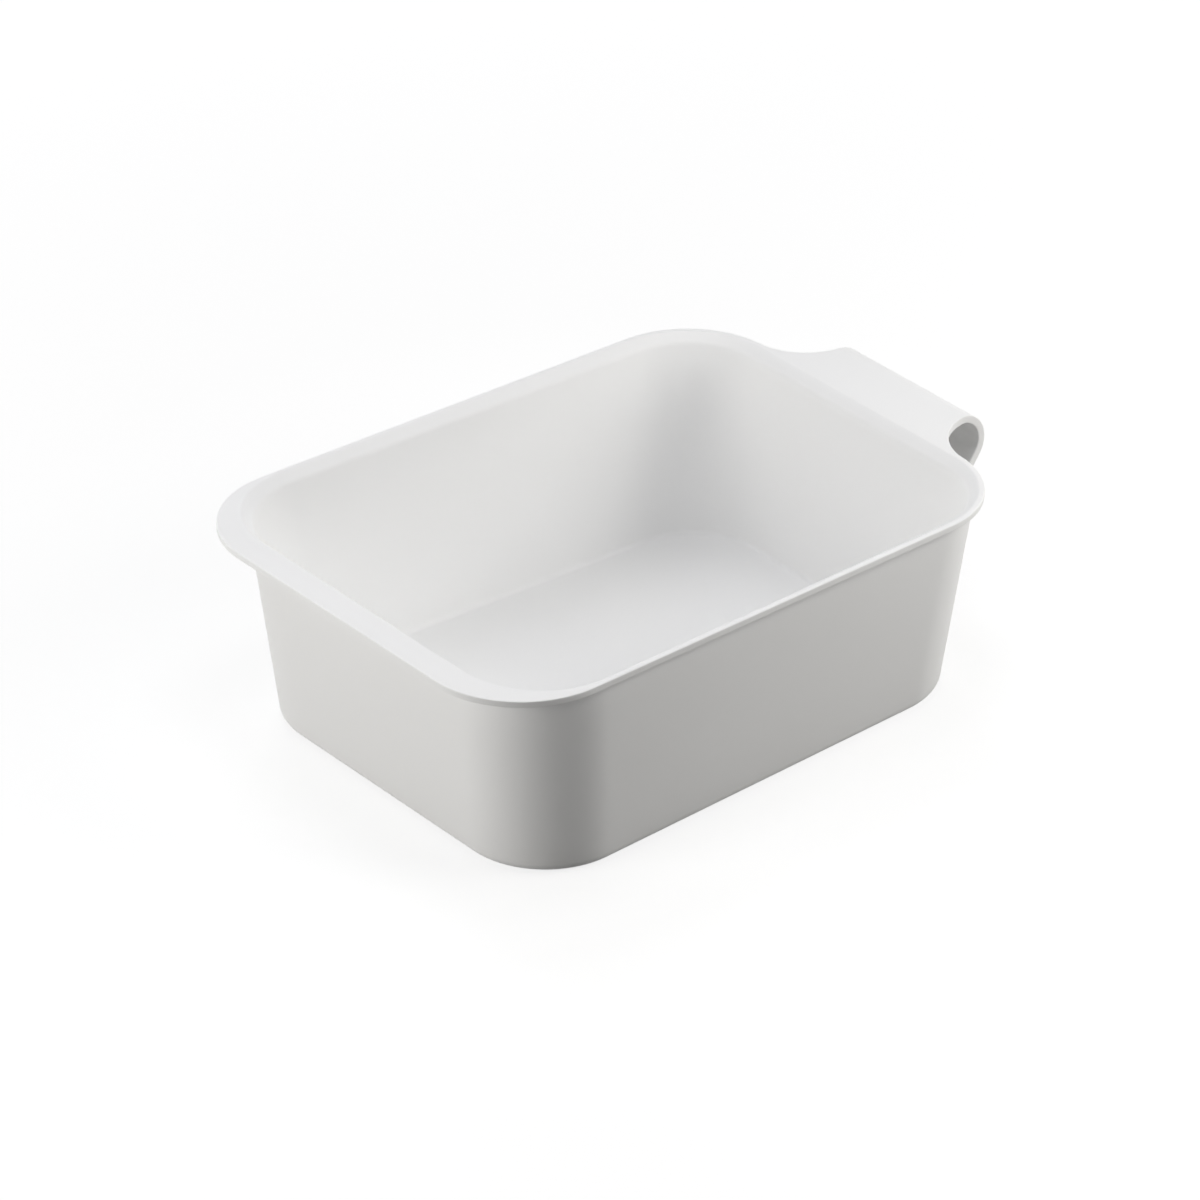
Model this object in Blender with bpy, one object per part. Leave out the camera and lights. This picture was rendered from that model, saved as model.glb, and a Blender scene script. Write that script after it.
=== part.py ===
"""Rectangular bucket moulded in off-white polypropylene.

The vessel tapers down from a flared rim. One short end carries a wide flat flange. From the other short end
a plate runs out level with the rim and curls over into a grip, which also hooks over a bar. The origin is
at the middle of the object's box, on the surface that it stands on. +X points to the grip, +Z points up.
All lengths are in metres.
"""

import math

import bmesh
import bpy

# Overall form
HEIGHT = 0.1008
RIM_LENGTH = 0.2977
GRIP_REACH = 0.0386

# Rim, seen from above: full widths at its two short ends, and the radii of its corners
RIM_WIDTH_AT_FLANGE = 0.2326
RIM_WIDTH_AT_GRIP = 0.2195
RIM_CORNER_AT_FLANGE = 0.0468
RIM_CORNER_AT_GRIP = 0.0449

# Rim, in section
RIM_THICKNESS = 0.0032
LIP_WIDTH = 0.0024
FLANGE_FLAT_WIDTH = 0.0093
FLARE_WIDTH = 0.0053
FLARE_DROP = 0.0037
EDGE_RADIUS = 0.0011
FLARE_EASE = 0.0008
MOUTH_EASE = 0.0013
NECK_HEIGHT = 0.0025

# Corner radii of the flare's upper edge and of the vessel's mouth
FLARE_CORNER_AT_FLANGE = 0.0455
FLARE_CORNER_AT_GRIP = 0.0434
MOUTH_CORNER_AT_FLANGE = 0.0417
MOUTH_CORNER_AT_GRIP = 0.0355

# Vessel
WALL_THICKNESS = 0.0026
FLOOR_THICKNESS = 0.0026
LEAN_AT_FLANGE = 0.0103
LEAN_AT_GRIP = 0.0059
SIDE_LEAN_AT_FLANGE = 0.0080
SIDE_LEAN_AT_GRIP = 0.0119
BASE_CORNER = 0.0408
OUTER_FILLET = 0.0050
INNER_FILLET = 0.0036
FOOT_BAND_WIDTH = 0.0090
FOOT_HEIGHT = 0.0008

# Grip
GRIP_WIDTH = 0.0836
GRIP_RADIUS = 0.0148
GRIP_THICKNESS = 0.0038
HOLLOW_RADIUS = 0.0290
ROOT_LENGTH = 0.0032
CURL_END_ANGLE = math.radians(-35)
CURL_LIP_LENGTH = 0.0090

# Most of a wall's thickness, or of a face's width, that the rounding of one of its edges may take
ROUNDING_SHARE = 0.45

# Share of an outline's straight end, from its middle, whose points face the flat root of the plate
END_SHARE = 0.88

# Gap between neighbouring solids, and the steps that round stretches are drawn in
ZONE_GAP = 0.0003
CORNER_STEPS = 12
HOLLOW_STEPS = 7
END_STEPS = 6
SIDE_STEPS = 4
FILLET_STEPS = 5
EDGE_STEPS = 3
EASE_STEPS = 3
CURL_STEPS = 18
PLATE_STEPS = 8

# Colours of the plastic, and how matt it is on each zone
SHELL_WHITE = (0.83, 0.83, 0.82)
RIM_WHITE = (0.84, 0.84, 0.83)
SHELL_ROUGHNESS = 0.42
RIM_ROUGHNESS = 0.40
SHARP_ANGLE = math.radians(28)

# Places worked out from the sizes above
FLANGE_END_X = -(RIM_LENGTH + GRIP_REACH) / 2
GRIP_END_X = FLANGE_END_X + RIM_LENGTH
CURL_AXIS_X = GRIP_END_X + GRIP_REACH - GRIP_RADIUS
CURL_AXIS_Z = HEIGHT - GRIP_RADIUS
ROOT_CUT_X = GRIP_END_X + ROOT_LENGTH
MOUTH_Z = HEIGHT - FLARE_DROP
UNDER_RIM_Z = HEIGHT - RIM_THICKNESS
NECK_Z = min(MOUTH_Z, UNDER_RIM_Z) - NECK_HEIGHT
FLOOR_Z = FOOT_HEIGHT + FLOOR_THICKNESS


class Plan:
    """A four-sided plan outline, symmetric about the X axis, with its short ends square to that axis."""

    def __init__(self, near_x, far_x, near_half, far_half, near_corner, far_corner):
        self.near_x = near_x
        self.far_x = far_x
        self.near_half = near_half
        self.far_half = far_half
        self.near_corner = near_corner
        self.far_corner = far_corner

    def inset(self, near, far, sides, near_corner=None, far_corner=None):
        """The outline moved inwards by a distance at each end and at the sides."""
        if near_corner is None:
            near_corner = self.near_corner - near
        if far_corner is None:
            far_corner = self.far_corner - far
        return Plan(
            self.near_x + near,
            self.far_x - far,
            self.near_half - sides,
            self.far_half - sides,
            near_corner,
            far_corner,
        )

    def towards(self, other, share):
        """The outline that lies this share of the way from this one to another."""
        pairs = zip(vars(self).values(), vars(other).values())
        return Plan(*(mine + share * (theirs - mine) for mine, theirs in pairs))

    def side_angle(self):
        """The angle that the +Y side makes with the X axis."""
        return math.atan2(self.far_half - self.near_half, self.far_x - self.near_x)

    def corner_centre(self, far):
        """The centre of the +Y corner's arc at the far or the near end."""
        angle = self.side_angle()
        if far:
            radius = self.far_corner
            side = self.far_half - radius * math.tan(angle)
            return self.far_x - radius, side - radius / math.cos(angle)
        radius = self.near_corner
        side = self.near_half + radius * math.tan(angle)
        return self.near_x + radius, side - radius / math.cos(angle)


def arc(centre, radius, start, end, steps):
    """Points along an arc, both ends included."""
    angles = [start + (end - start) * step / steps for step in range(steps + 1)]
    return [(centre[0] + radius * math.cos(a), centre[1] + radius * math.sin(a)) for a in angles]


def between(start, end, steps):
    """Points along a straight stretch, without its two ends."""
    shares = [step / steps for step in range(1, steps)]
    return [tuple(a + share * (b - a) for a, b in zip(start, end)) for share in shares]


def mirrored(half):
    """Closes the half of an outline that runs from the X axis at the far end to the X axis at the near end."""
    return half + [(x, -y) for x, y in reversed(half[1:-1])]


def hollow_centre(rim):
    """The centre of the arc that hollows the plate's +Y side, tangent to the rim's corner and to the grip."""
    corner_x, corner_y = rim.corner_centre(far=True)
    centre_y = GRIP_WIDTH / 2 + HOLLOW_RADIUS
    reach = rim.far_corner + HOLLOW_RADIUS
    return corner_x + math.sqrt(reach**2 - (centre_y - corner_y) ** 2), centre_y


def plate_half_width(x, inset):
    """Half of the plate's width at a place along X, with its hollowed side moved inwards."""
    centre_x, centre_y = hollow_centre(rim_plan())
    if x >= centre_x:
        return GRIP_WIDTH / 2 - inset
    return centre_y - math.sqrt((HOLLOW_RADIUS + inset) ** 2 - (centre_x - x) ** 2)


def rim_half_outline(rim, inset):
    """Half of the rim's outer outline moved inwards, with the root of the plate, from +X round to -X."""
    corner_x, corner_y = rim.corner_centre(far=True)
    centre = hollow_centre(rim)
    tangent = math.atan2(centre[1] - corner_y, centre[0] - corner_x)
    radius = HOLLOW_RADIUS + inset
    cut = math.pi + math.acos((centre[0] - ROOT_CUT_X) / radius)
    hollow = arc(centre, radius, cut, math.pi + tangent, HOLLOW_STEPS)
    side = math.pi / 2 + rim.side_angle()
    far_corner = arc((corner_x, corner_y), rim.far_corner - inset, tangent, side, CORNER_STEPS)
    near_corner = arc(rim.corner_centre(far=False), rim.near_corner - inset, side, math.pi, CORNER_STEPS)
    axis_far = (ROOT_CUT_X, 0.0)
    axis_near = (rim.near_x + inset, 0.0)
    end = [axis_far] + between(axis_far, hollow[0], END_STEPS)
    sides = between(far_corner[-1], near_corner[0], SIDE_STEPS)
    near_end = between(near_corner[-1], axis_near, SIDE_STEPS)
    return end + hollow + far_corner[1:] + sides + near_corner + near_end + [axis_near]


def plain_half_outline(plan):
    """Half of a plan outline, with as many points as the rim's, from +X round to -X."""
    side = math.pi / 2 + plan.side_angle()
    far_corner = arc(plan.corner_centre(far=True), plan.far_corner, 0.0, side, CORNER_STEPS)
    near_corner = arc(plan.corner_centre(far=False), plan.near_corner, side, math.pi, CORNER_STEPS)
    axis_far = (plan.far_x, 0.0)
    axis_near = (plan.near_x, 0.0)
    root = (plan.far_x, END_SHARE * far_corner[0][1])
    end = [axis_far] + between(axis_far, root, END_STEPS)
    end += [root] + between(root, far_corner[0], HOLLOW_STEPS)
    sides = between(far_corner[-1], near_corner[0], SIDE_STEPS)
    near_end = between(near_corner[-1], axis_near, SIDE_STEPS)
    return end + far_corner + sides + near_corner + near_end + [axis_near]


def loop_at(half, z):
    """A closed loop of 3D points at one height."""
    return [(x, y, z) for x, y in mirrored(half)]


def rounding(thickness):
    """The radius that rounds an edge of this thickness."""
    return min(EDGE_RADIUS, ROUNDING_SHARE * thickness)


def quarter(steps):
    """The sine and the cosine's fall at each step of a quarter turn, both ends included."""
    angles = [math.pi / 2 * step / steps for step in range(steps + 1)]
    return [(math.sin(angle), 1 - math.cos(angle)) for angle in angles]


def rim_plan():
    """The rim's outer edge without the plate."""
    return Plan(
        FLANGE_END_X,
        GRIP_END_X,
        RIM_WIDTH_AT_FLANGE / 2,
        RIM_WIDTH_AT_GRIP / 2,
        RIM_CORNER_AT_FLANGE,
        RIM_CORNER_AT_GRIP,
    )


def flare_plan():
    """The upper edge of the flare."""
    near = LIP_WIDTH + FLANGE_FLAT_WIDTH
    return rim_plan().inset(near, LIP_WIDTH, LIP_WIDTH, FLARE_CORNER_AT_FLANGE, FLARE_CORNER_AT_GRIP)


def mouth_plan():
    """The lower edge of the flare, where the inside of the wall begins."""
    flare = flare_plan()
    return flare.inset(FLARE_WIDTH, FLARE_WIDTH, FLARE_WIDTH, MOUTH_CORNER_AT_FLANGE, MOUTH_CORNER_AT_GRIP)


def wall_plan(z, inset):
    """The wall's outline at a height, moved inwards from its outer face."""
    mouth = mouth_plan()
    top = mouth.inset(-WALL_THICKNESS, -WALL_THICKNESS, -WALL_THICKNESS)
    base = Plan(
        top.near_x + LEAN_AT_FLANGE,
        top.far_x - LEAN_AT_GRIP,
        top.near_half - SIDE_LEAN_AT_FLANGE,
        top.far_half - SIDE_LEAN_AT_GRIP,
        BASE_CORNER,
        BASE_CORNER,
    )
    return base.towards(top, z / MOUTH_Z).inset(inset, inset, inset)


def wall_loop(z, inset):
    """The closed loop of the wall's outline at a height."""
    return loop_at(plain_half_outline(wall_plan(z, inset)), z)


def blended(start, end, share):
    """The plan and height that lie this share of the way from one plan and height to another."""
    return start[0].towards(end[0], share), start[1] + share * (end[1] - start[1])


def eased(start, corner, end):
    """Loops that round the corner between two faces. Each argument is a plan and its height."""
    loops = []
    for step in range(EASE_STEPS + 1):
        share = step / EASE_STEPS
        before = blended(start, corner, share)
        after = blended(corner, end, share)
        plan, z = blended(before, after, share)
        loops.append(loop_at(plain_half_outline(plan), z))
    return loops


def skinned(loops, close_round=False):
    """A bmesh whose loops, all of equal length, are joined one to the next, with the ends capped or joined."""
    shape = bmesh.new()
    rings = [[shape.verts.new(point) for point in loop] for loop in loops]
    count = len(rings[0])
    pairs = list(zip(rings, rings[1:]))
    if close_round:
        pairs.append((rings[-1], rings[0]))
    else:
        shape.faces.new(rings[0])
        shape.faces.new(rings[-1])
    for lower, upper in pairs:
        for index in range(count):
            following = (index + 1) % count
            shape.faces.new((lower[index], lower[following], upper[following], upper[index]))
    bmesh.ops.recalc_face_normals(shape, faces=shape.faces)
    return shape


def plastic(name, colour, roughness):
    """A moulded plastic material."""
    material = bpy.data.materials.new(name)
    material.use_nodes = True
    shader = material.node_tree.nodes["Principled BSDF"]
    shader.inputs["Base Color"].default_value = (*colour, 1.0)
    shader.inputs["Roughness"].default_value = roughness
    shader.inputs["Metallic"].default_value = 0.0
    return material


def place(name, shape, material, parent):
    """Turns a bmesh into a named object, shaded smooth but for its sharp edges."""
    mesh = bpy.data.meshes.new(name)
    shape.to_mesh(mesh)
    shape.free()
    mesh.shade_smooth()
    mesh.set_sharp_from_angle(angle=SHARP_ANGLE)
    mesh.materials.append(material)
    piece = bpy.data.objects.new(name, mesh)
    bpy.context.scene.collection.objects.link(piece)
    piece.parent = parent
    return piece


def tub_shell():
    """The floor and the four walls, with a shallow recess inside a foot band underneath."""
    band_inset = OUTER_FILLET + FOOT_BAND_WIDTH
    recess_inset = band_inset + FOOT_HEIGHT
    loops = [wall_loop(FOOT_HEIGHT, recess_inset)]
    loops.append([(x, y, 0.0) for x, y, _ in wall_loop(0.0, band_inset)])
    for sine, fall in quarter(FILLET_STEPS):
        loops.append(wall_loop(OUTER_FILLET * fall, OUTER_FILLET * (1 - sine)))
    loops.append(wall_loop(NECK_Z - ZONE_GAP, 0.0))
    loops.append(wall_loop(NECK_Z - ZONE_GAP, WALL_THICKNESS))
    for sine, fall in reversed(quarter(FILLET_STEPS)):
        loops.append(wall_loop(FLOOR_Z + INNER_FILLET * fall, WALL_THICKNESS + INNER_FILLET * (1 - sine)))
    return skinned(loops)


def rim_flange():
    """The neck, the flare, the lip with its rounded edges, the end flange and the roots of the plate."""
    rim = rim_plan()
    mouth = (mouth_plan(), MOUTH_Z)
    flare = (flare_plan(), HEIGHT)
    edge = min(rounding(RIM_THICKNESS), rounding(2 * LIP_WIDTH))
    flare_length = math.hypot(FLARE_WIDTH, FLARE_DROP)
    flare_ease = min(FLARE_EASE, ROUNDING_SHARE * LIP_WIDTH, ROUNDING_SHARE * flare_length)
    mouth_ease = min(MOUTH_EASE, ROUNDING_SHARE * (MOUTH_Z - NECK_Z), ROUNDING_SHARE * flare_length)
    below_mouth = (wall_plan(MOUTH_Z - mouth_ease, WALL_THICKNESS), MOUTH_Z - mouth_ease)
    above_mouth = blended(mouth, flare, mouth_ease / flare_length)
    below_flare = blended(flare, mouth, flare_ease / flare_length)
    outside_flare = (flare[0].inset(-flare_ease, -flare_ease, -flare_ease), HEIGHT)
    loops = [wall_loop(NECK_Z, 0.0), wall_loop(NECK_Z, WALL_THICKNESS)]
    loops += eased(below_mouth, mouth, above_mouth)
    loops += eased(below_flare, flare, outside_flare)
    for sine, fall in quarter(EDGE_STEPS):
        loops.append(loop_at(rim_half_outline(rim, edge * (1 - sine)), HEIGHT - edge * fall))
    for sine, fall in reversed(quarter(EDGE_STEPS)):
        loops.append(loop_at(rim_half_outline(rim, edge * (1 - sine)), UNDER_RIM_Z + edge * fall))
    loops.append(wall_loop(UNDER_RIM_Z, 0.0))
    return skinned(loops, close_round=True)


def plate_section(x, thickness, squeeze=0.0):
    """The plate's section at a place along X, as (across, depth below the upper face) points.

    Its edges are rounded, and squeeze moves its sides inwards.
    """
    edge = rounding(thickness)
    points = []
    for side, lower in ((1, False), (1, True), (-1, True), (-1, False)):
        turns = quarter(EDGE_STEPS)
        if (side == 1) == lower:
            turns = list(reversed(turns))
        for sine, fall in turns:
            across = side * plate_half_width(x, squeeze + edge * (1 - sine))
            depth = edge * fall
            points.append((across, thickness - depth if lower else depth))
    return points


def plate_thickness(x):
    """The plate thickens evenly from the rim to the curl."""
    share = (x - ROOT_CUT_X) / (CURL_AXIS_X - ROOT_CUT_X)
    return RIM_THICKNESS + share * (GRIP_THICKNESS - RIM_THICKNESS)


def handle_plate():
    """The flat web with hollowed sides between the rim and the curl."""
    start = ROOT_CUT_X + ZONE_GAP
    end = CURL_AXIS_X - ZONE_GAP
    loops = []
    for step in range(PLATE_STEPS + 1):
        x = start + (end - start) * step / PLATE_STEPS
        section = plate_section(x, plate_thickness(x))
        loops.append([(x, across, HEIGHT - depth) for across, depth in section])
    return skinned(loops)


def curl_loop(angle, slide, squeeze):
    """The section of the curl at an angle round its axis, slid on along the tangent and thinned for the tip.

    Where the curl leaves the plate, the hollows of the plate's sides run out in it.
    """
    radial = (math.cos(angle), math.sin(angle))
    tangent = (math.sin(angle), -math.cos(angle))
    outer_x = CURL_AXIS_X + GRIP_RADIUS * radial[0]
    loop = []
    for across, depth in plate_section(outer_x, GRIP_THICKNESS - 2 * squeeze, squeeze):
        radius = GRIP_RADIUS - squeeze - depth
        x = CURL_AXIS_X + radius * radial[0] + slide * tangent[0]
        z = CURL_AXIS_Z + radius * radial[1] + slide * tangent[1]
        loop.append((x, across, z))
    return loop


def grip_curl():
    """The rolled end of the plate: an arc over the top and down the outside, then a straight lip."""
    top = math.pi / 2
    edge = rounding(GRIP_THICKNESS)
    straight = CURL_LIP_LENGTH - edge
    loops = []
    for step in range(CURL_STEPS + 1):
        loops.append(curl_loop(top + (CURL_END_ANGLE - top) * step / CURL_STEPS, 0.0, 0.0))
    for sine, fall in quarter(EDGE_STEPS):
        loops.append(curl_loop(CURL_END_ANGLE, straight + edge * sine, edge * fall / 2))
    return skinned(loops)


def main():
    """Builds the four zones round one parent."""
    for old in list(bpy.data.objects):
        bpy.data.objects.remove(old)
    bucket = bpy.data.objects.new("bucket", None)
    bpy.context.scene.collection.objects.link(bucket)
    place("tub_shell", tub_shell(), plastic("shell_plastic", SHELL_WHITE, SHELL_ROUGHNESS), bucket)
    place("rim_flange", rim_flange(), plastic("rim_plastic", RIM_WHITE, RIM_ROUGHNESS), bucket)
    place("handle_plate", handle_plate(), plastic("plate_plastic", RIM_WHITE, RIM_ROUGHNESS), bucket)
    place("grip_curl", grip_curl(), plastic("curl_plastic", SHELL_WHITE, SHELL_ROUGHNESS), bucket)


main()
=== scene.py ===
"""Looks of a rectangular bucket moulded in off-white plastic, with a hook grip at one short end.

The moulding is dressed zone by zone: the tub, the rim with its end flange, the plate and the curled
grip. Each zone is a closed skin in fine steps, which stands for one coarser solid of the frame.
Neighbouring skins share the outline that they meet on, so the moulding reads as one piece. Lengths are
in metres, +X points to the grip and +Z points up.
"""

import logging
import math
from dataclasses import dataclass
from enum import Enum
from typing import Callable, Iterable

import bmesh
import bpy
import numpy as np
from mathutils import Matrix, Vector


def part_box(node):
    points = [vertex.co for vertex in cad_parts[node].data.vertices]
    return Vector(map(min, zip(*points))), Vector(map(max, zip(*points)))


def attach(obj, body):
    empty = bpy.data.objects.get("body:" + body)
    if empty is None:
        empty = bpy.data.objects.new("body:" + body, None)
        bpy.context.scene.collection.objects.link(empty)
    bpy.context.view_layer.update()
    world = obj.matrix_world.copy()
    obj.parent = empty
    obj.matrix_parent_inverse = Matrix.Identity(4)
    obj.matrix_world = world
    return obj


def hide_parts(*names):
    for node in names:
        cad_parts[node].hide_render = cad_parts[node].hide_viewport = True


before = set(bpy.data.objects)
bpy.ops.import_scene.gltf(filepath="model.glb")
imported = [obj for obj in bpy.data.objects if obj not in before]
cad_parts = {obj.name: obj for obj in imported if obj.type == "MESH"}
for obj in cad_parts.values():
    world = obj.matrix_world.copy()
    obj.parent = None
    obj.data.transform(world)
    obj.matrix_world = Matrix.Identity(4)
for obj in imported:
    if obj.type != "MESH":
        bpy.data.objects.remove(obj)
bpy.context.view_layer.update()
LOG = logging.getLogger("bucket")

Array = np.ndarray
Colour = tuple[float, float, float]
Place = tuple[float, float, float]

WARM_WHITE: Colour = (1.0, 0.987, 0.957)
COOL_WHITE: Colour = (0.964, 0.970, 1.0)
PLAIN_WHITE: Colour = (1.0, 1.0, 1.0)

EDGE_LAYER = "edge"
SHARP_ANGLE = math.radians(35)


class Zone(Enum):
    """The zones of the moulding. Each value is the frame's node that the zone's skin stands for."""

    TUB = "tub_shell"
    RIM = "rim_flange"
    PLATE = "handle_plate"
    CURL = "grip_curl"


@dataclass(frozen=True)
class Steps:
    """How finely the skins are drawn."""

    end: int = 20
    hollow: int = 26
    corner: int = 40
    side: int = 36
    near_end: int = 28
    wall: int = 14
    fillet: int = 10
    edge: int = 8
    ease: int = 8
    plate: int = 30
    across: int = 14
    curl: int = 64


STEPS = Steps()


def arc(centre: tuple[float, float], radius: float, start: float, end: float, steps: int) -> Array:
    """Draws an arc.

    Args:
        centre: The arc's centre.
        radius: The arc's radius.
        start: The angle that the arc starts at.
        end: The angle that the arc ends at.
        steps: How many straight steps the arc is drawn in.

    Returns:
        The points along the arc, both ends included.
    """
    angles = np.linspace(start, end, steps + 1)
    return np.stack([centre[0] + radius * np.cos(angles), centre[1] + radius * np.sin(angles)], axis=1)


def between(start: Iterable[float], end: Iterable[float], steps: int) -> Array:
    """Divides a straight stretch.

    Args:
        start: The stretch's first point.
        end: The stretch's last point.
        steps: How many steps the stretch is divided into.

    Returns:
        The points inside the stretch, without its two ends.
    """
    return np.linspace(np.asarray(start, float), np.asarray(end, float), steps + 1)[1:-1]


def quarter(steps: int) -> Array:
    """Divides a quarter turn.

    Args:
        steps: How many steps the quarter turn is divided into.

    Returns:
        One row for each angle from 0 to 90 degrees: its sine, and how far its cosine has fallen from 1.
    """
    angles = np.linspace(0.0, math.pi / 2, steps + 1)
    return np.stack([np.sin(angles), 1.0 - np.cos(angles)], axis=1)


@dataclass(frozen=True)
class Plan:
    """A four-sided outline seen from above, symmetric about the X axis, with rounded corners."""

    near_x: float
    far_x: float
    near_half: float
    far_half: float
    near_corner: float
    far_corner: float

    def values(self) -> Array:
        """The outline's six sizes in order."""
        return np.array(
            [self.near_x, self.far_x, self.near_half, self.far_half, self.near_corner, self.far_corner]
        )

    def moved_in(self, distance: float) -> "Plan":
        """Moves the outline inwards.

        Args:
            distance: How far every side moves inwards. A negative distance moves it outwards.

        Returns:
            The moved outline.
        """
        return Plan(*(self.values() + distance * np.array([1.0, -1.0, -1.0, -1.0, -1.0, -1.0])))

    def towards(self, other: "Plan", share: float) -> "Plan":
        """Blends this outline with another.

        Args:
            other: The outline to move towards.
            share: The share of the way to move.

        Returns:
            The outline on the way.
        """
        return Plan(*(self.values() + share * (other.values() - self.values())))

    def side_angle(self) -> float:
        """The angle that the +Y side makes with the X axis."""
        return math.atan2(self.far_half - self.near_half, self.far_x - self.near_x)

    def corner_centre(self, far: bool) -> tuple[float, float]:
        """Finds the centre of a +Y corner's arc.

        Args:
            far: Whether the corner is the one at the grip's end.

        Returns:
            The centre's X and Y.
        """
        angle = self.side_angle()
        if far:
            side = self.far_half - self.far_corner * math.tan(angle)
            return self.far_x - self.far_corner, side - self.far_corner / math.cos(angle)
        side = self.near_half + self.near_corner * math.tan(angle)
        return self.near_x + self.near_corner, side - self.near_corner / math.cos(angle)

    def outline(self, root_share: float) -> Array:
        """Draws the outline.

        Args:
            root_share: The share of the straight end, from its middle, whose points face the plate's root.

        Returns:
            The closed outline's points, anticlockwise from the middle of the grip's end.
        """
        side = math.pi / 2 + self.side_angle()
        far_corner = arc(self.corner_centre(far=True), self.far_corner, 0.0, side, STEPS.corner)
        near_corner = arc(self.corner_centre(far=False), self.near_corner, side, math.pi, STEPS.corner)
        axis_far = np.array([self.far_x, 0.0])
        axis_near = np.array([self.near_x, 0.0])
        root = np.array([self.far_x, root_share * far_corner[0][1]])
        half = np.concatenate(
            [
                [axis_far],
                between(axis_far, root, STEPS.end),
                [root],
                between(root, far_corner[0], STEPS.hollow),
                far_corner,
                between(far_corner[-1], near_corner[0], STEPS.side),
                near_corner,
                between(near_corner[-1], axis_near, STEPS.near_end),
                [axis_near],
            ]
        )
        return mirrored(half)


def mirrored(half: Array) -> Array:
    """Closes half an outline.

    Args:
        half: Points from the X axis at the grip's end to the X axis at the flange's end.

    Returns:
        The points of the whole outline.
    """
    return np.concatenate([half, half[-2:0:-1] * np.array([1.0, -1.0])])


@dataclass(frozen=True)
class Level:
    """An outline at one height."""

    plan: Plan
    z: float

    def towards(self, other: "Level", share: float) -> "Level":
        """Blends this level with another.

        Args:
            other: The level to move towards.
            share: The share of the way to move.

        Returns:
            The level on the way.
        """
        return Level(self.plan.towards(other.plan, share), self.z + share * (other.z - self.z))

    def eased_to(self, corner: "Level", end: "Level") -> list["Level"]:
        """Rounds the edge between two faces.

        Args:
            corner: The level of the edge itself.
            end: The level that the rounding ends at, on the second face.

        Returns:
            The levels round the edge, from this one to the end.
        """
        levels = []
        for share in np.linspace(0.0, 1.0, STEPS.ease + 1):
            before = self.towards(corner, share)
            after = corner.towards(end, share)
            levels.append(before.towards(after, share))
        return levels


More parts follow.
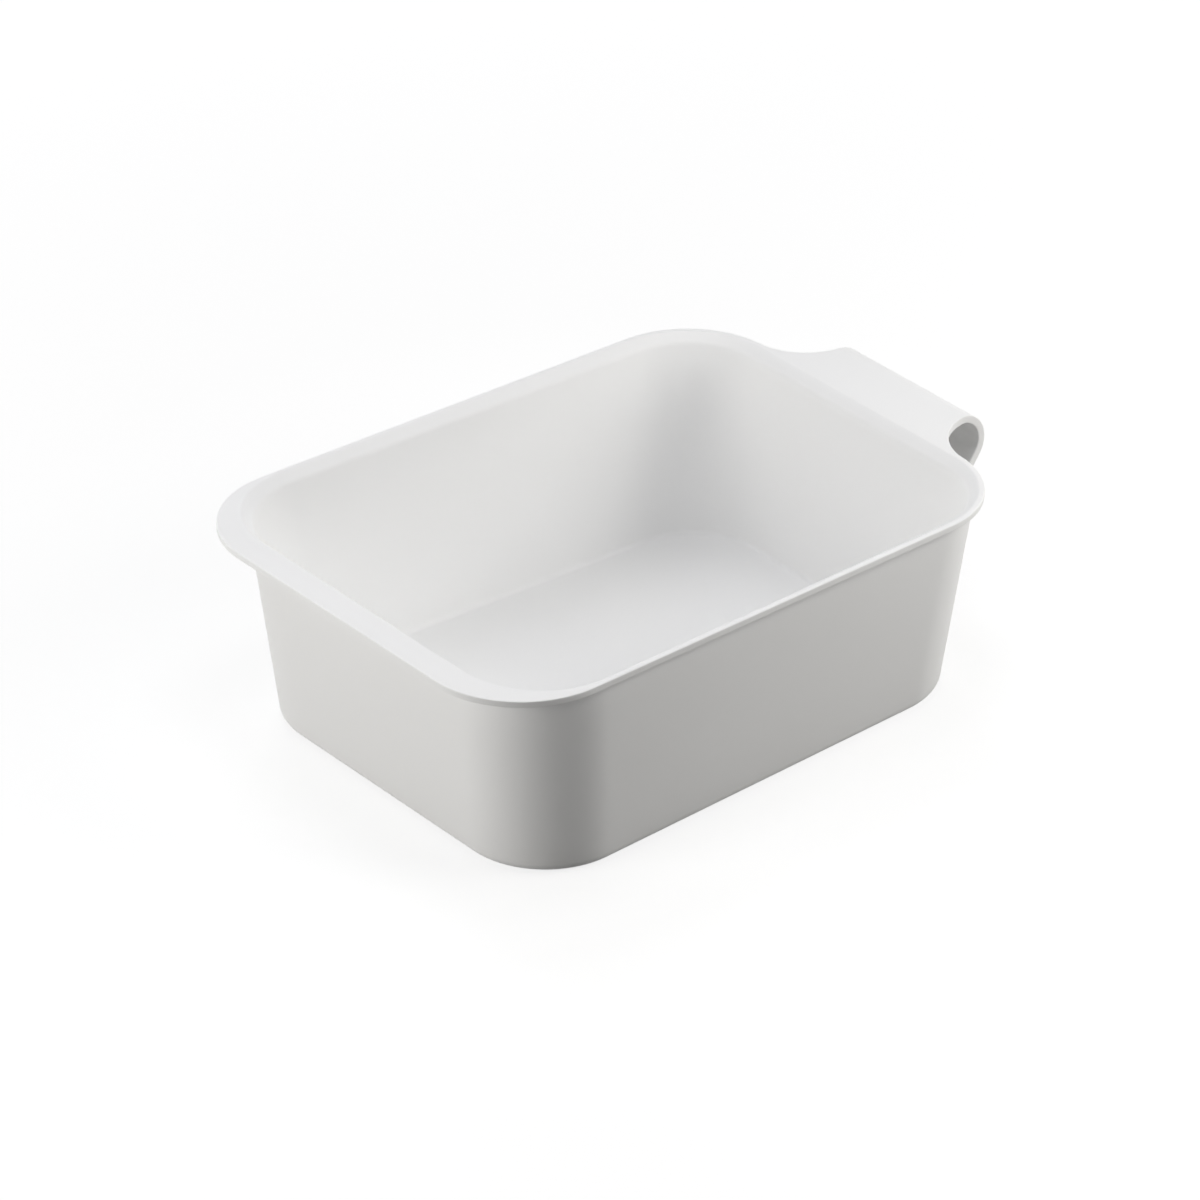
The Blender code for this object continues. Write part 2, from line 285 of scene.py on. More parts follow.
@dataclass(frozen=True)
class BucketForm:
    """The sizes that the zones of the moulding share.

    A flat face has a row of points `edge_hold` away from each rounded edge, so that it shades flat.
    `root_share` is the share of the grip's end, from its middle, whose points face the plate's root.
    """

    height: float
    flange_end_x: float
    grip_reach_x: float
    root_cut_x: float
    rim_length: float = 0.2977
    rim_width_at_flange: float = 0.2326
    rim_width_at_grip: float = 0.2195
    rim_corner_at_flange: float = 0.0468
    rim_corner_at_grip: float = 0.0449
    rim_thickness: float = 0.0032
    lip_width: float = 0.0024
    flange_flat_width: float = 0.0115
    flare_width: float = 0.0053
    flare_width_at_flange: float = 0.0031
    flare_drop: float = 0.0037
    flare_corner_at_flange: float = 0.0425
    flare_corner_at_grip: float = 0.0434
    mouth_corner_at_flange: float = 0.0417
    mouth_corner_at_grip: float = 0.0355
    upper_edge: float = 0.0005
    lower_edge: float = 0.0006
    edge_hold: float = 0.0002
    neck_height: float = 0.0025
    wall: float = 0.0026
    lean_at_flange: float = 0.0103
    lean_at_grip: float = 0.0059
    side_lean_at_flange: float = 0.0080
    side_lean_at_grip: float = 0.0119
    base_corner: float = 0.0408
    grip_width: float = 0.0836
    grip_radius: float = 0.0148
    grip_thickness: float = 0.0038
    hollow_radius: float = 0.0290
    root_share: float = 0.88

    @classmethod
    def from_frame(cls) -> "BucketForm":
        """Reads the overall sizes off the frame's solids.

        Returns:
            The form of this bucket.
        """
        rim_low, rim_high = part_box(Zone.RIM.value)
        curl_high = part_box(Zone.CURL.value)[1]
        return cls(
            height=rim_high.z,
            flange_end_x=rim_low.x,
            grip_reach_x=curl_high.x,
            root_cut_x=rim_high.x,
        )

    @property
    def mouth_z(self) -> float:
        """The height of the flare's lower edge."""
        return self.height - self.flare_drop

    @property
    def under_rim_z(self) -> float:
        """The height of the rim's underside."""
        return self.height - self.rim_thickness

    @property
    def neck_z(self) -> float:
        """The height that the tub and the rim meet at."""
        return self.mouth_z - self.neck_height

    @property
    def curl_axis_x(self) -> float:
        """The place of the curl's axis along X."""
        return self.grip_reach_x - self.grip_radius

    @property
    def curl_axis_z(self) -> float:
        """The height of the curl's axis."""
        return self.height - self.grip_radius

    def rim_plan(self) -> Plan:
        """Finds the rim's outer outline, without the plate.

        Returns:
            The outline.
        """
        return Plan(
            self.flange_end_x,
            self.flange_end_x + self.rim_length,
            self.rim_width_at_flange / 2,
            self.rim_width_at_grip / 2,
            self.rim_corner_at_flange,
            self.rim_corner_at_grip,
        )

    def flare_plan(self) -> Plan:
        """Finds the flare's upper edge.

        Returns:
            The edge's outline.
        """
        rim = self.rim_plan()
        return Plan(
            rim.near_x + self.lip_width + self.flange_flat_width,
            rim.far_x - self.lip_width,
            rim.near_half - self.lip_width,
            rim.far_half - self.lip_width,
            self.flare_corner_at_flange,
            self.flare_corner_at_grip,
        )

    def mouth_plan(self) -> Plan:
        """Finds the flare's lower edge, where the inside of the wall begins.

        Returns:
            The edge's outline.
        """
        flare = self.flare_plan()
        return Plan(
            flare.near_x + self.flare_width_at_flange,
            flare.far_x - self.flare_width,
            flare.near_half - self.flare_width,
            flare.far_half - self.flare_width,
            self.mouth_corner_at_flange,
            self.mouth_corner_at_grip,
        )

    def wall_level(self, z: float, inset: float) -> Level:
        """Finds the wall's outline at a height.

        Args:
            z: The height.
            inset: How far the outline lies inside the wall's outer face.

        Returns:
            The outline at that height.
        """
        top = self.mouth_plan().moved_in(-self.wall)
        base = Plan(
            top.near_x + self.lean_at_flange,
            top.far_x - self.lean_at_grip,
            top.near_half - self.side_lean_at_flange,
            top.far_half - self.side_lean_at_grip,
            self.base_corner,
            self.base_corner,
        )
        return Level(base.towards(top, z / self.mouth_z).moved_in(inset), z)

    def ring(self, level: Level, z: float | None = None) -> Array:
        """Draws a level as a closed ring.

        Args:
            level: The outline and its height.
            z: The height to draw it at, if not its own.

        Returns:
            The ring's points in space.
        """
        outline = level.plan.outline(self.root_share)
        height = level.z if z is None else z
        return np.column_stack([outline, np.full(len(outline), height)])

    def hollow_centre(self) -> tuple[float, float]:
        """Finds the centre of the arc that hollows the plate's +Y side.

        Returns:
            The centre's X and Y.
        """
        rim = self.rim_plan()
        corner_x, corner_y = rim.corner_centre(far=True)
        centre_y = self.grip_width / 2 + self.hollow_radius
        reach = rim.far_corner + self.hollow_radius
        return corner_x + math.sqrt(reach**2 - (centre_y - corner_y) ** 2), centre_y

    def plate_half_width(self, x: float, inset: float) -> float:
        """Finds half of the plate's width.

        Args:
            x: The place along X.
            inset: How far the plate's side is moved inwards.

        Returns:
            Half of the width there.
        """
        centre_x, centre_y = self.hollow_centre()
        if x >= centre_x:
            return self.grip_width / 2 - inset
        return centre_y - math.sqrt((self.hollow_radius + inset) ** 2 - (centre_x - x) ** 2)

    def rim_edge_ring(self, inset: float, z: float) -> Array:
        """Draws the rim's outer edge with the plate's root, moved inwards.

        Args:
            inset: How far the edge is moved inwards.
            z: The ring's height.

        Returns:
            The ring's points in space, as many as a plain outline's.
        """
        rim = self.rim_plan()
        corner_x, corner_y = rim.corner_centre(far=True)
        centre = self.hollow_centre()
        tangent = math.atan2(centre[1] - corner_y, centre[0] - corner_x)
        radius = self.hollow_radius + inset
        cut = math.pi + math.acos((centre[0] - self.root_cut_x) / radius)
        hollow = arc(centre, radius, cut, math.pi + tangent, STEPS.hollow)
        side = math.pi / 2 + rim.side_angle()
        far_corner = arc((corner_x, corner_y), rim.far_corner - inset, tangent, side, STEPS.corner)
        near_centre = rim.corner_centre(far=False)
        near_corner = arc(near_centre, rim.near_corner - inset, side, math.pi, STEPS.corner)
        axis_far = np.array([self.root_cut_x, 0.0])
        axis_near = np.array([rim.near_x + inset, 0.0])
        half = np.concatenate(
            [
                [axis_far],
                between(axis_far, hollow[0], STEPS.end),
                hollow,
                far_corner[1:],
                between(far_corner[-1], near_corner[0], STEPS.side),
                near_corner,
                between(near_corner[-1], axis_near, STEPS.near_end),
                [axis_near],
            ]
        )
        outline = mirrored(half)
        return np.column_stack([outline, np.full(len(outline), z)])


def skin(name: str, rings: list[Array], edges: list[float], closed_round: bool = False) -> bpy.types.Object:
    """Joins rings of equal length into one closed, smooth skin.

    Args:
        name: The piece's name.
        rings: The rings, each one's points matched with the next one's.
        edges: For each ring, how much it lies on a rounded edge, from 0 to 1, for the wear of the finish.
        closed_round: Whether the last ring joins the first. Otherwise each end is closed with a face.

    Returns:
        The piece, in the scene.
    """
    shape = bmesh.new()
    wear = shape.verts.layers.float.new(EDGE_LAYER)
    rows = []
    for ring, edge in zip(rings, edges):
        row = [shape.verts.new(point) for point in ring]
        for vertex in row:
            vertex[wear] = edge
        rows.append(row)
    pairs = list(zip(rows, rows[1:]))
    if closed_round:
        pairs.append((rows[-1], rows[0]))
    else:
        shape.faces.new(rows[0])
        shape.faces.new(rows[-1])
    for lower, upper in pairs:
        for index in range(len(lower)):
            following = (index + 1) % len(lower)
            shape.faces.new((lower[index], lower[following], upper[following], upper[index]))
    bmesh.ops.recalc_face_normals(shape, faces=shape.faces)
    mesh = bpy.data.meshes.new(name)
    shape.to_mesh(mesh)
    shape.free()
    mesh.shade_smooth()
    mesh.set_sharp_from_angle(angle=SHARP_ANGLE)
    piece = bpy.data.objects.new(name, mesh)
    bpy.context.scene.collection.objects.link(piece)
    return piece


class Graph:
    """A material's nodes, with short calls to add and join them."""

    mix_first_colour = 6
    mix_second_colour = 7
    mix_result_colour = 2

    def __init__(self, tree: bpy.types.NodeTree) -> None:
        """Empties the node tree.

        Args:
            tree: The node tree to fill.
        """
        self.tree = tree
        tree.nodes.clear()

    def add(self, kind: str, inputs: dict | None = None, **settings: object) -> bpy.types.Node:
        """Adds a node.

        Args:
            kind: The node's type.
            inputs: Values or sockets for its inputs, by name or number.
            **settings: The node's own settings.

        Returns:
            The new node.
        """
        node = self.tree.nodes.new(kind)
        for key, value in settings.items():
            setattr(node, key, value)
        for key, value in (inputs or {}).items():
            if isinstance(value, bpy.types.NodeSocket):
                self.tree.links.new(value, node.inputs[key])
            else:
                node.inputs[key].default_value = value
        return node

    def noise(self, vector: bpy.types.NodeSocket, scale: float, detail: float) -> bpy.types.NodeSocket:
        """Adds a noise texture.

        Args:
            vector: The coordinates that it is read at.
            scale: How many of its blotches lie in a metre.
            detail: How many finer layers it has.

        Returns:
            The noise's factor.
        """
        inputs = {"Vector": vector, "Scale": scale, "Detail": detail}
        return self.add("ShaderNodeTexNoise", inputs).outputs["Fac"]

    def spread(
        self, value: bpy.types.NodeSocket, source: tuple[float, float], target: tuple[float, float]
    ) -> bpy.types.NodeSocket:
        """Maps a value from one range to another.

        Args:
            value: The value.
            source: The range that it comes in.
            target: The range that it goes out in.

        Returns:
            The mapped value, kept within the target range.
        """
        inputs = {
            "Value": value,
            "From Min": source[0],
            "From Max": source[1],
            "To Min": target[0],
            "To Max": target[1],
        }
        return self.add("ShaderNodeMapRange", inputs).outputs["Result"]

    def maths(self, operation: str, first: object, second: object) -> bpy.types.NodeSocket:
        """Adds a calculation of two values.

        Args:
            operation: The calculation's name.
            first: The first value or socket.
            second: The second value or socket.

        Returns:
            The result.
        """
        return self.add("ShaderNodeMath", {0: first, 1: second}, operation=operation).outputs["Value"]

    def mixed(self, factor: bpy.types.NodeSocket, first: Colour, second: Colour) -> bpy.types.NodeSocket:
        """Mixes two colours.

        Args:
            factor: How much of the second colour there is, from 0 to 1.
            first: The first colour.
            second: The second colour.

        Returns:
            The mixed colour.
        """
        inputs = {
            "Factor": factor,
            self.mix_first_colour: (*first, 1.0),
            self.mix_second_colour: (*second, 1.0),
        }
        return self.add("ShaderNodeMix", inputs, data_type="RGBA").outputs[self.mix_result_colour]


@dataclass(frozen=True)
class SatinPlastic:
    """Off-white polypropylene from a fine-blasted mould.

    The surface carries a fine grain, a slow unevenness from the plastic's flow, and faint cloudy changes of
    colour and polish. Rounded edges are a little more polished, and the foot has short rubbing marks. A
    scale is how many blotches of a noise lie in a metre, and a span is the part of a noise's values that is
    spread over its effect.
    """

    name: str
    colour: Colour = (0.95, 0.95, 0.948)
    shaded_colour: Colour = (0.937, 0.936, 0.931)
    ior: float = 1.49
    specular_level: float = 0.20
    roughness: float = 0.50
    cloud_roughness: float = 0.035
    rubbed_roughness: float = 0.12
    edge_polish: float = 0.04
    cloud_scale: float = 16.0
    cloud_detail: float = 3.0
    cloud_colour_span: tuple[float, float] = (0.38, 0.72)
    cloud_colour_share: float = 0.5
    cloud_polish_span: tuple[float, float] = (0.30, 0.70)
    grain_scale: float = 2400.0
    grain_depth: float = 0.000012
    worn_grain_share: float = 0.55
    flow_scale: float = 24.0
    flow_depth: float = 0.00012
    relief_detail: float = 1.0
    rub_scale: float = 26.0
    rub_stretch: Place = (1.0, 14.0, 14.0)
    rub_detail: float = 4.0
    rub_span: tuple[float, float] = (0.58, 0.80)
    rub_share: float = 0.5
    rub_top: float = 0.006
    patch_scale: float = 8.0
    patch_detail: float = 2.0
    patch_span: tuple[float, float] = (0.48, 0.62)

    def material(self) -> bpy.types.Material:
        """Builds the material.

        Returns:
            The finished material.
        """
        material = bpy.data.materials.new(self.name)
        material.use_nodes = True
        graph = Graph(material.node_tree)
        place = graph.add("ShaderNodeTexCoord").outputs["Object"]
        edge = graph.add("ShaderNodeAttribute", attribute_name=EDGE_LAYER).outputs["Fac"]
        cloud = graph.noise(place, self.cloud_scale, self.cloud_detail)
        rubbed = self._rubbed(graph, place)
        colour = self._colour(graph, cloud, rubbed)
        roughness = self._roughness(graph, cloud, rubbed, edge)
        shader = graph.add(
            "ShaderNodeBsdfPrincipled",
            {"Base Color": colour, "Roughness": roughness, "Normal": self._relief(graph, place, rubbed)},
        )
        shader.inputs["IOR"].default_value = self.ior
        shader.inputs["Specular IOR Level"].default_value = self.specular_level
        graph.add("ShaderNodeOutputMaterial", {"Surface": shader.outputs["BSDF"]})
        return material

    def _rubbed(self, graph: Graph, place: bpy.types.NodeSocket) -> bpy.types.NodeSocket:
        """Draws thin rubbing marks that lie in loose patches round the foot.

        Args:
            graph: The material's nodes.
            place: The coordinates.

        Returns:
            How rubbed each place is, from 0 to 1.
        """
        stretched = graph.add("ShaderNodeMapping", {"Vector": place, "Scale": self.rub_stretch})
        marks = graph.noise(stretched.outputs["Vector"], self.rub_scale, self.rub_detail)
        thin = graph.spread(marks, self.rub_span, (0.0, 1.0))
        blotches = graph.noise(place, self.patch_scale, self.patch_detail)
        patches = graph.spread(blotches, self.patch_span, (0.0, 1.0))
        height = graph.add("ShaderNodeSeparateXYZ", {"Vector": place}).outputs["Z"]
        low = graph.spread(height, (0.0, self.rub_top), (1.0, 0.0))
        return graph.maths("MULTIPLY", graph.maths("MULTIPLY", thin, patches), low)

    def _colour(
        self, graph: Graph, cloud: bpy.types.NodeSocket, rubbed: bpy.types.NodeSocket
    ) -> bpy.types.NodeSocket:
        """Mixes the plastic's colour.

        Args:
            graph: The material's nodes.
            cloud: The cloudy variation, from 0 to 1.
            rubbed: How rubbed each place is.

        Returns:
            The colour.
        """
        share = graph.spread(cloud, self.cloud_colour_span, (0.0, self.cloud_colour_share))
        rub = graph.maths("MULTIPLY", rubbed, self.rub_share)
        return graph.mixed(graph.maths("MAXIMUM", share, rub), self.colour, self.shaded_colour)

    def _roughness(
        self,
        graph: Graph,
        cloud: bpy.types.NodeSocket,
        rubbed: bpy.types.NodeSocket,
        edge: bpy.types.NodeSocket,
    ) -> bpy.types.NodeSocket:
        """Varies the polish.

        Args:
            graph: The material's nodes.
            cloud: The cloudy variation, from 0 to 1.
            rubbed: How rubbed each place is.
            edge: How much each place lies on a rounded edge.

        Returns:
            The roughness.
        """
        low = self.roughness - self.cloud_roughness
        high = self.roughness + self.cloud_roughness
        cloudy = graph.spread(cloud, self.cloud_polish_span, (low, high))
        with_rub = graph.maths("ADD", cloudy, graph.maths("MULTIPLY", rubbed, self.rubbed_roughness))
        return graph.maths("SUBTRACT", with_rub, graph.maths("MULTIPLY", edge, self.edge_polish))

    def _relief(
        self, graph: Graph, place: bpy.types.NodeSocket, rubbed: bpy.types.NodeSocket
    ) -> bpy.types.NodeSocket:
        """Raises the grain over the slow unevenness of the flow.

        Args:
            graph: The material's nodes.
            place: The coordinates.
            rubbed: How rubbed each place is, where the grain is worn down.

        Returns:
            The bent normal.
        """
        swell = graph.noise(place, self.flow_scale, self.relief_detail)
        flow = graph.add("ShaderNodeBump", {"Distance": self.flow_depth, "Height": swell})
        worn = graph.spread(rubbed, (0.0, 1.0), (1.0, self.worn_grain_share))
        height = graph.maths("MULTIPLY", graph.noise(place, self.grain_scale, self.relief_detail), worn)
        inputs = {"Distance": self.grain_depth, "Height": height, "Normal": flow.outputs["Normal"]}
        return graph.add("ShaderNodeBump", inputs).outputs["Normal"]


def dressed(piece: bpy.types.Object, zone: Zone, finish: SatinPlastic) -> bpy.types.Object:
    """Gives a skin its finish and its place in the frame.

    Args:
        piece: The zone's skin.
        zone: The zone that it stands for.
        finish: The finish of the plastic.

    Returns:
        The dressed skin.
    """
    piece.data.materials.append(finish.material())
    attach(piece, "root")
    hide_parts(zone.value)
    return piece


@dataclass(frozen=True)
class Tub:
    """The floor and the four walls, with a shallow recess inside a foot band underneath.

    A flat face underneath has a row of points `hold` away from each edge, so that it shades flat.
    """

    form: BucketForm
    floor: float = 0.0026
    outer_fillet: float = 0.0050
    inner_fillet: float = 0.0022
    foot_band: float = 0.0090
    foot_height: float = 0.0008
    foot_ease: float = 0.0003
    hold: float = 0.0010
    floor_rings: tuple[float, ...] = (0.008, 0.016, 0.024)
    gate_radius: float = 0.0060
    gate_depth: float = 0.0003
    gate_slope: float = 0.0008
    stub_radius: float = 0.0014

    @property
    def floor_z(self) -> float:
        """The height of the floor's upper face."""
        return self.foot_height + self.floor

    def build(self, finish: SatinPlastic) -> bpy.types.Object:
        """Builds and dresses the tub.

        Args:
            finish: The finish of the plastic.

        Returns:
            The tub's skin.
        """
        underside = self._underside()
        outside = self._outside()
        inside = self._inside()
        rings = underside + outside + inside
        edges = [0.0] * len(underside) + self._outside_edges(len(outside)) + [0.0] * len(inside)
        return dressed(skin("moulded_tub", rings, edges), Zone.TUB, finish)

    def _circle(self, radius: float, z: float) -> Array:
        """Draws a circle whose points match the base's outline.

        Args:
            radius: The circle's radius.
            z: Its height.

        Returns:
            The circle's points in space.
        """
        base = self.form.wall_level(0.0, 0.0).plan.outline(self.form.root_share)
        directions = base / np.linalg.norm(base, axis=1)[:, None]
        return np.column_stack([radius * directions, np.full(len(base), z)])

    def _underside(self) -> list[Array]:
        """Draws the gate's mark, the recess and the foot band.

        Returns:
            The rings, from the middle outwards.
        """
        form = self.form
        gate_z = self.foot_height + self.gate_depth
        stub_z = gate_z - self.gate_depth / 2
        band = self.outer_fillet + self.foot_band
        recess = band + self.foot_height
        rings = [
            self._circle(self.stub_radius, stub_z),
            self._circle(self.stub_radius + self.gate_depth / 2, gate_z),
            self._circle(self.gate_radius - self.gate_slope, gate_z),
            self._circle(self.gate_radius, self.foot_height),
            self._circle(self.gate_radius + self.hold, self.foot_height),
        ]
        for inset in (recess + max(self.floor_rings), recess + min(self.floor_rings)):
            rings.append(form.ring(form.wall_level(0.0, inset), self.foot_height))
        rim_of_recess = [
            (recess + self.foot_ease + self.hold, self.foot_height),
            (recess + self.foot_ease, self.foot_height),
            (recess - self.foot_ease / 2, self.foot_height - self.foot_ease / 2),
            (band + self.foot_ease / 2, self.foot_ease / 2),
            (band - self.foot_ease, 0.0),
            (band - self.foot_ease - self.hold, 0.0),
        ]
        for inset, z in rim_of_recess:
            rings.append(form.ring(form.wall_level(0.0, inset), z))
        return rings

    def _outside(self) -> list[Array]:
        """Draws the rounded foot and the outer faces of the walls.

        Returns:
            The rings, from the foot band up.
        """
        form = self.form
        rings = []
        for sine, fall in quarter(STEPS.fillet):
            level = form.wall_level(self.outer_fillet * fall, self.outer_fillet * (1.0 - sine))
            rings.append(form.ring(level))
        for z in np.linspace(self.outer_fillet, form.neck_z, STEPS.wall + 1)[1:]:
            rings.append(form.ring(form.wall_level(z, 0.0)))
        return rings

    def _outside_edges(self, count: int) -> list[float]:
        """Marks the rounded foot for the finish.

        Args:
            count: How many rings the outside has.

        Returns:
            How much each ring lies on an edge.
        """
        foot = [1.0] * STEPS.fillet
        return foot + [0.0] * (count - len(foot))

    def _inside(self) -> list[Array]:
        """Draws the inner faces of the walls, the fillet and the floor.

        Returns:
            The rings, from the neck down and inwards.
        """
        form = self.form
        rings = []
        foot = self.floor_z + self.inner_fillet
        for z in np.linspace(form.neck_z, foot, STEPS.wall + 1):
            rings.append(form.ring(form.wall_level(z, form.wall)))
        for sine, fall in reversed(quarter(STEPS.fillet)[:-1]):
            inset = form.wall + self.inner_fillet * (1.0 - sine)
            rings.append(form.ring(form.wall_level(self.floor_z + self.inner_fillet * fall, inset)))
        for inset in self.floor_rings:
            level = form.wall_level(self.floor_z, form.wall + self.inner_fillet + inset)
            rings.append(form.ring(level))
        return rings


@dataclass(frozen=True)
class Rim:
    """The neck, the flare, the rounded lip, the end flange and the root of the plate."""

    form: BucketForm
    flare_ease: float = 0.0008
    mouth_ease: float = 0.0015
    under_fillet: float = 0.0010
    flare_rows: int = 3

    def build(self, finish: SatinPlastic) -> bpy.types.Object:
        """Builds and dresses the rim.

        Args:
            finish: The finish of the plastic.

        Returns:
            The rim's skin.
        """
        form = self.form
        flare = self._flare()
        edge = self._edge()
        under = self._under()
        rings = [form.ring(form.wall_level(form.neck_z, form.wall))] + flare + edge + under
        # The edge's first and last rings lie on the flat faces beside it.
        edges = [0.0] * (2 + len(flare)) + [1.0] * (len(edge) - 2) + [0.0] * (1 + len(under))
        piece = skin("moulded_rim", rings, edges, closed_round=True)
        return dressed(piece, Zone.RIM, finish)

    def _flare(self) -> list[Array]:
        """Draws the inside of the neck, the eased mouth, the flare and its eased upper edge.

        Returns:
            The rings, from the neck up and outwards.
        """
        form = self.form
        mouth = Level(form.mouth_plan(), form.mouth_z)
        flare = Level(form.flare_plan(), form.height)
        length = math.hypot(form.flare_width, form.flare_drop)
        below_mouth = form.wall_level(form.mouth_z - self.mouth_ease, form.wall)
        above_mouth = mouth.towards(flare, self.mouth_ease / length)
        below_flare = flare.towards(mouth, self.flare_ease / length)
        outside_flare = Level(form.flare_plan().moved_in(-self.flare_ease), form.height)
        levels = below_mouth.eased_to(mouth, above_mouth)
        for row in range(1, self.flare_rows):
            levels.append(above_mouth.towards(below_flare, row / self.flare_rows))
        levels += below_flare.eased_to(flare, outside_flare)
        levels.append(Level(form.flare_plan().moved_in(-self.flare_ease - form.edge_hold), form.height))
        return [form.ring(level) for level in levels]

    def _edge(self) -> list[Array]:
        """Draws the rounded outer edge.

        Returns:
            The rings, from the edge's top to its underside.
        """
        form = self.form
        upper, lower = form.upper_edge, form.lower_edge
        rings = [form.rim_edge_ring(upper + form.edge_hold, form.height)]
        for sine, fall in quarter(STEPS.edge):
            rings.append(form.rim_edge_ring(upper * (1.0 - sine), form.height - upper * fall))
        for sine, fall in reversed(quarter(STEPS.edge)):
            rings.append(form.rim_edge_ring(lower * (1.0 - sine), form.under_rim_z + lower * fall))
        rings.append(form.rim_edge_ring(lower + form.edge_hold, form.under_rim_z))
        return rings

    def _under(self) -> list[Array]:
        """Draws the fillet under the rim and the outside of the neck.

        Returns:
            The rings, from the rim's underside inwards and down.
        """
        form = self.form
        rings = []
        for sine, fall in quarter(STEPS.edge):
            z = form.under_rim_z - self.under_fillet * fall
            level = form.wall_level(z, -self.under_fillet * (1.0 - sine))
            rings.append(form.ring(level))
        rings.append(form.ring(form.wall_level(form.neck_z, 0.0)))
        return rings


@dataclass(frozen=True)
class Bar:
    """The section of the plate and of the curl: a flat bar with rounded edges.

    Each flat face has a point `hold` away from its rounded edges, so that it shades flat.
    """

    half_width: Callable[[float], float]
    thickness: float
    upper_edge: float
    lower_edge: float
    hold: float

    def section(self) -> Array:
        """Draws the section.

        Returns:
            The points as rows of a place across the bar and a depth below its upper face.
        """
        points = []
        for side, lower in ((1.0, False), (1.0, True), (-1.0, True), (-1.0, False)):
            turns = quarter(STEPS.edge)
            edge = self.lower_edge if lower else self.upper_edge
            if (side > 0.0) == lower:
                turns = turns[::-1]
            for sine, fall in turns:
                across = side * self.half_width(edge * (1.0 - sine))
                depth = edge * fall
                points.append((across, self.thickness - depth if lower else depth))
            if (side > 0.0) == lower:
                across, depth = points[-1]
                held = across - side * self.hold
                points.append((held, depth))
                points.extend(between((held, depth), (-held, depth), STEPS.across))
                points.append((-held, depth))
        return np.array(points)


@dataclass(frozen=True)
class GripPlate:
    """The flat web with hollowed sides that carries the grip out from the rim.

    The plate ends `lead` before the curl's axis, where the curl's skin takes over.
    """

    form: BucketForm
    lead: float = 0.0020

    def thickness_at(self, x: float) -> float:
        """Finds the plate's thickness.

        Args:
            x: The place along X.

        Returns:
            The thickness, which grows evenly from the rim to the curl.
        """
        form = self.form
        share = (x - form.root_cut_x) / (form.curl_axis_x - form.root_cut_x)
        return form.rim_thickness + share * (form.grip_thickness - form.rim_thickness)

    def ring(self, x: float) -> Array:
        """Draws the plate's section.

        Args:
            x: The place along X.

        Returns:
            The section's points in space.
        """
        form = self.form
        bar = Bar(
            lambda inset: form.plate_half_width(x, inset),
            self.thickness_at(x),
            form.upper_edge,
            form.lower_edge,
            form.edge_hold,
        )
        section = bar.section()
        return np.column_stack([np.full(len(section), x), section[:, 0], form.height - section[:, 1]])

    def build(self, finish: SatinPlastic) -> bpy.types.Object:
        """Builds and dresses the plate.

        Args:
            finish: The finish of the plastic.

        Returns:
            The plate's skin.
        """
        form = self.form
        places = np.linspace(form.root_cut_x, form.curl_axis_x - self.lead, STEPS.plate + 1)
        rings = [self.ring(x) for x in places]
        piece = skin("grip_plate", rings, [0.0] * len(rings))
        return dressed(piece, Zone.PLATE, finish)


@dataclass(frozen=True)
class HookGrip:
    """The rolled end of the plate: an arc over the top and down the outside, then a straight lip."""

    form: BucketForm
    plate: GripPlate
    end_angle: float = math.radians(-35)
    lip_length: float = 0.0090
    tip_edge: float = 0.0011
    lip_rows: int = 8

    def build(self, finish: SatinPlastic) -> bpy.types.Object:
        """Builds and dresses the curl.

        Args:
            finish: The finish of the plastic.

        Returns:
            The curl's skin.
        """
        form = self.form
        edge = self.tip_edge
        rings = [self.plate.ring(form.curl_axis_x - self.plate.lead)]
        for angle in np.linspace(math.pi / 2, self.end_angle, STEPS.curl + 1):
            rings.append(self._ring(angle, 0.0, 0.0))
        straight = self.lip_length - edge
        for share in np.linspace(0.0, 1.0, self.lip_rows + 1)[1:-1]:
            rings.append(self._ring(self.end_angle, share * straight, 0.0))
        for sine, fall in quarter(STEPS.edge):
            rings.append(self._ring(self.end_angle, straight + edge * sine, edge * fall / 2))
        piece = skin("hook_grip", rings, [0.0] * len(rings))
        return dressed(piece, Zone.CURL, finish)

    def _ring(self, angle: float, slide: float, squeeze: float) -> Array:
        """Draws the curl's section.

        Args:
            angle: The angle round the curl's axis.
            slide: How far the section is moved on along the tangent there.
            squeeze: How far its faces and sides are moved inwards.

        Returns:
            The section's points in space.
        """
        form = self.form
        outer_x = form.curl_axis_x + form.grip_radius * math.cos(angle)
        bar = Bar(
            lambda inset: form.plate_half_width(outer_x, inset + squeeze),
            form.grip_thickness - 2.0 * squeeze,
            form.upper_edge,
            form.lower_edge,
            form.edge_hold,
        )
        section = bar.section()
        radius = form.grip_radius - squeeze - section[:, 1]
        x = form.curl_axis_x + radius * math.cos(angle) + slide * math.sin(angle)
        z = form.curl_axis_z + radius * math.sin(angle) - slide * math.cos(angle)
        return np.column_stack([x, section[:, 0], z])


@dataclass(frozen=True)
class Softbox:
    """A rectangular lamp that faces the point `aim`. Its azimuth and elevation are in degrees."""

    name: str
    azimuth: float
    elevation: float
    distance: float
    width: float
    height: float
    power: float
    colour: Colour
    aim: Place = (0.0, 0.0, 0.05)

    def build(self) -> bpy.types.Object:
        """Builds the lamp.

        Returns:
            The lamp, in the scene.
        """
        light = bpy.data.lights.new(self.name, "AREA")
        light.shape = "RECTANGLE"
        light.size = self.width
        light.size_y = self.height
        light.energy = self.power
        light.color = self.colour
        azimuth = math.radians(self.azimuth)
        elevation = math.radians(self.elevation)
        flat = math.cos(elevation)
        outward = Vector((flat * math.cos(azimuth), flat * math.sin(azimuth), math.sin(elevation)))
        lamp = bpy.data.objects.new(self.name, light)
        lamp.location = Vector(self.aim) + self.distance * outward
        lamp.rotation_euler = outward.to_track_quat("Z", "Y").to_euler()
        lamp.visible_camera = False
        bpy.context.scene.collection.objects.link(lamp)
        return lamp


